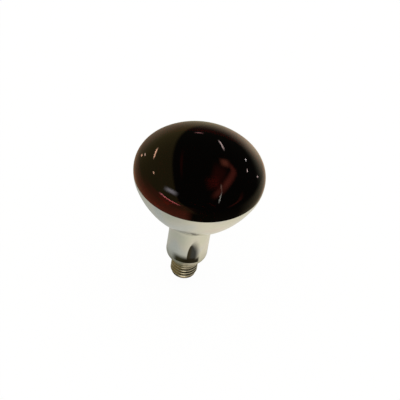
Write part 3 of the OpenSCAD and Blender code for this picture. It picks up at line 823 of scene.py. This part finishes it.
# First and last direction, half width in degrees, softness, colour and strength
room_lights = (
    ((-84, 7), (-14, 9), 13.0, 0.6, (0.50, 0.14, 0.075, 1), 1.0),
    ((-133, -1), (-130, 2), 0.7, 0.4, amber, 6.0),
    ((-132, 4.5), (-128, 7.5), 0.5, 0.4, pinkish, 5.0),
    ((-134, 19), (-121, 23.6), 0.9, 0.4, amber, 9.0),
    ((-99.5, 28.8), (-95, 29.9), 0.7, 0.5, amber, 9.0),
    ((-61, 26), (-46, 22.4), 2.4, 0.5, (1.0, 0.26, 0.28, 1), 6.5),
    ((-49, 22.6), (-25, 19.8), 2.2, 0.6, (1.0, 0.22, 0.22, 1), 7.5),
    ((-60, 40), (-42, 44.6), 2.1, 0.9, cool, 3.2),
    ((-171.5, 19.8), (-176.5, 21), 1.3, 0.8, (1.0, 0.42, 0.42, 1), 1.6),
    ((166.5, 29), (155.5, 39), 0.8, 0.5, lamp, 5.5),
    ((140.5, 17.5), (138, 19.7), 0.6, 0.5, (1, 0.9, 0.9, 1), 6.5),
    ((126.8, 22.8), (123.3, 24.2), 0.7, 0.5, lamp, 7.0),
    ((128, 6), (126, 7.2), 0.7, 0.5, lamp, 4.5),
    ((135.5, -7.5), (133.5, -9.5), 0.8, 0.5, lamp, 3.5),
    ((71, 57), (60.5, 50), 0.9, 0.5, pinkish, 6.0),
    ((61, 50.4), (47, 41), 0.8, 0.5, (0.95, 0.9, 0.8, 1), 4.0),
    ((120, 62), (50, 60), 8.0, 0.6, red, 0.22),
    ((134, 58), (129, 49), 4.5, 0.8, (1.0, 0.26, 0.15, 1), 1.1),
    ((128, 48), (112, 44), 2.6, 0.9, red, 0.6),
    ((118, 44), (100, 49), 3.0, 0.9, red, 0.75),
    ((104, 48), (66, 52), 3.8, 0.9, red, 0.95),
    ((68, 52), (42, 50.5), 3.4, 0.9, (1.0, 0.22, 0.15, 1), 0.7),
    ((60, 18), (84, 26), 2.2, 0.9, red, 0.45),
    ((-135, 56), (-75, 66), 1.5, 0.9, red, 0.15),
)
light_through_face = ((40, 70), (75, 62), 7.0, 0.7, (1.0, 0.9, 0.8, 1), 1.6)
# What lies low in the room, by azimuth in degrees: warm at the left, pale behind on the right
low_tones = (
    (-180, (0.38, 0.36, 0.23, 1)),
    (-165, (0.27, 0.22, 0.145, 1)),
    (-135, (0.40, 0.31, 0.19, 1)),
    (-105, (0.40, 0.20, 0.10, 1)),
    (-80, (0.56, 0.16, 0.08, 1)),
    (-10, (0.66, 0.17, 0.09, 1)),
    (1, (0.03, 0.03, 0.015, 1)),
    (70, (0.03, 0.03, 0.02, 1)),
    (110, (0.30, 0.29, 0.18, 1)),
    (130, (0.56, 0.54, 0.39, 1)),
    (155, (0.85, 0.77, 0.54, 1)),
    (168, (0.52, 0.44, 0.32, 1)),
)
low_start = 0.20
low_full = -0.30
even_light = (0.72, 0.72, 0.70, 1)


def lit_half(tree, way):
    """The room: one tilted edge parts the lit wall and floor at the left from the dark rest."""
    side = vector_worked(tree, "DOT_PRODUCT", way, toward(-85, -34))
    return mixed(tree, ranged(tree, side, -0.02, 0.06), dark_tone, wall_tone)


def clear_room(tree, way):
    """The room as a sharp mirror shows it: lit and dark halves, and the low tones below them."""
    part = put(tree, "ShaderNodeSeparateXYZ", {0: way}).outputs
    turn = worked(tree, "ARCTAN2", part["X"], worked(tree, "MULTIPLY", part["Y"], -1.0))
    tones = put(tree, "ShaderNodeValToRGB", {"Fac": ranged(tree, turn, -math.pi, math.pi, kind="LINEAR")})
    for azimuth, tone in low_tones[1:]:
        tones.color_ramp.elements.new((azimuth + 180) / 360).color = tone
    for end in (0, -1):
        tones.color_ramp.elements[end].color = low_tones[0][1]
    share = ranged(tree, part["Z"], low_start, low_full)
    return mixed(tree, share, lit_half(tree, way), tones.outputs[0])


def mirrored_rays(tree, rays):
    """The rays that come off metal or through glass."""
    return worked(tree, "MAXIMUM", rays["Is Glossy Ray"], rays["Is Transmission Ray"])


def studio_world():
    """White behind the bulb, even light on what is dull, and the dim room in what is bright."""
    world = bpy.data.worlds.new("studio")
    world.use_nodes = True
    tree = world.node_tree
    tree.nodes.clear()
    way = put(tree, "ShaderNodeTexCoord").outputs["Generated"]
    rays = put(tree, "ShaderNodeLightPath").outputs
    colour = clear_room(tree, way)
    for patch in room_lights:
        colour = added_patch(tree, way, colour, *patch)
    inside = added_patch(tree, way, dark_tone, *light_through_face)
    through = worked(tree, "GREATER_THAN", rays["Transmission Depth"], 0.5)
    room = mixed(tree, rays["Is Singular Ray"], lit_half(tree, way), mixed(tree, through, colour, inside))
    dull = mixed(tree, mirrored_rays(tree, rays), even_light, room)
    seen = mixed(tree, rays["Is Camera Ray"], dull, (1, 1, 1, 1))
    light = put(tree, "ShaderNodeBackground", {"Color": seen, "Strength": 1.0})
    put(tree, "ShaderNodeOutputWorld", {"Surface": light.outputs[0]})
    return world


# How far from the bulb, ahead of it and to its sides, the painted light and shade that mirrors see on the paper
# change
sheet_sides = (-75 * mm, 60 * mm)
sheet_end = (160 * mm, 250 * mm)
cap_front = (2 * mm, 11 * mm)
cap_sides = (-8 * mm, 18 * mm)
cap_touch = (5 * mm, 14 * mm)
cap_near = (24 * mm, 35 * mm)
cap_away = (38 * mm, 72 * mm)
foot_light_turn = math.radians(5)
sight_height = 155 * mm


def white_sheet():
    """Paper that the camera sees as white, less its soft shadow. Mirrors see it glow with painted light and shade
    near the bulb, and see it end further out.
    """
    made = bpy.data.materials.new("white_sheet")
    made.use_nodes = True
    tree = made.node_tree
    tree.nodes.clear()
    rays = put(tree, "ShaderNodeLightPath").outputs
    place = put(tree, "ShaderNodeTexCoord").outputs["Object"]
    way = vector_worked(tree, "NORMALIZE", place)
    # For mirrors the paper glows: far out it is painted with the room's lit and dark halves and two broad bands of
    # painted light.
    far = lit_half(tree, way)
    far = added_patch(tree, way, far, (115, 0), (165, 0), 45, 0.3, rim_tone, 1.8)
    far = added_patch(tree, way, far, (165, 0), (-120, 0), 45, 0.3, rim_tone, 0.75)
    side = put(tree, "ShaderNodeSeparateXYZ", {0: place}).outputs["X"]
    # Nearer, it is painted darker to the left and lighter to the right.
    near = mixed(tree, ranged(tree, side, *sheet_sides), (0.44, 0.445, 0.425, 1), (0.78, 0.735, 0.645, 1))
    # Where a mirror is close, as on the cap, the paper glows with a painted pool of light in front, painted shade
    # beside and a painted contact shadow at the touch.
    turned = put(tree, "ShaderNodeVectorRotate", {"Vector": place, "Angle": -foot_light_turn}, rotation_type="Z_AXIS")
    aside = put(tree, "ShaderNodeSeparateXYZ", {0: turned.outputs[0]}).outputs["X"]
    ray_length = rays["Ray Length"]
    ahead = mixed(tree, ranged(tree, ray_length, *cap_near), (1.65, 1.56, 1.30, 1), (0.29, 0.26, 0.19, 1))
    beside = mixed(tree, ranged(tree, aside, *cap_sides), (0.18, 0.175, 0.125, 1), (0.46, 0.42, 0.335, 1))
    shaded = ranged(tree, worked(tree, "ABSOLUTE", aside), *cap_front)
    under = mixed(tree, ranged(tree, ray_length, *cap_touch), (0.05, 0.045, 0.03, 1),
                  mixed(tree, shaded, ahead, beside))
    close = mixed(tree, ranged(tree, ray_length, *cap_away), under, near)
    blurred = mixed(tree, ranged(tree, vector_worked(tree, "LENGTH", place), *sheet_end), close, far)
    # Sharp mirrors see the room painted on the paper, as seen from the bulb.
    from_bulb = vector_worked(tree, "ADD", place, (0, 0, -sight_height))
    sharp = clear_room(tree, vector_worked(tree, "NORMALIZE", from_bulb))
    in_mirrors = put(tree, "ShaderNodeEmission",
                     {"Color": mixed(tree, rays["Is Singular Ray"], blurred, sharp), "Strength": 1.0})
    paper = put(tree, "ShaderNodeBsdfDiffuse", {"Color": (0.80, 0.79, 0.75, 1)})
    lit = put(tree, "ShaderNodeEmission", {"Color": (1, 1, 1, 1), "Strength": 1.04})
    seen = put(tree, "ShaderNodeMixShader", {0: 0.92, 1: paper.outputs[0], 2: lit.outputs[0]})
    reflected = put(tree, "ShaderNodeMixShader",
                    {0: mirrored_rays(tree, rays), 1: paper.outputs[0], 2: in_mirrors.outputs[0]})
    shown = put(tree, "ShaderNodeMixShader",
                {0: rays["Is Camera Ray"], 1: reflected.outputs[0], 2: seen.outputs[0]})
    put(tree, "ShaderNodeOutputMaterial", {"Surface": shown.outputs[0]})
    return made


floor_half = 4.0
floor_mesh = bpy.data.meshes.new("studio_floor")
floor_mesh.from_pydata(
    [(-floor_half, -floor_half, 0), (floor_half, -floor_half, 0), (floor_half, floor_half, 0),
     (-floor_half, floor_half, 0)], [], [(0, 1, 2, 3)])
floor_mesh.materials.append(white_sheet())
floor = placed("studio_floor", floor_mesh)
bpy.context.scene.world = studio_world()
bpy.context.scene.view_settings.view_transform = "Standard"
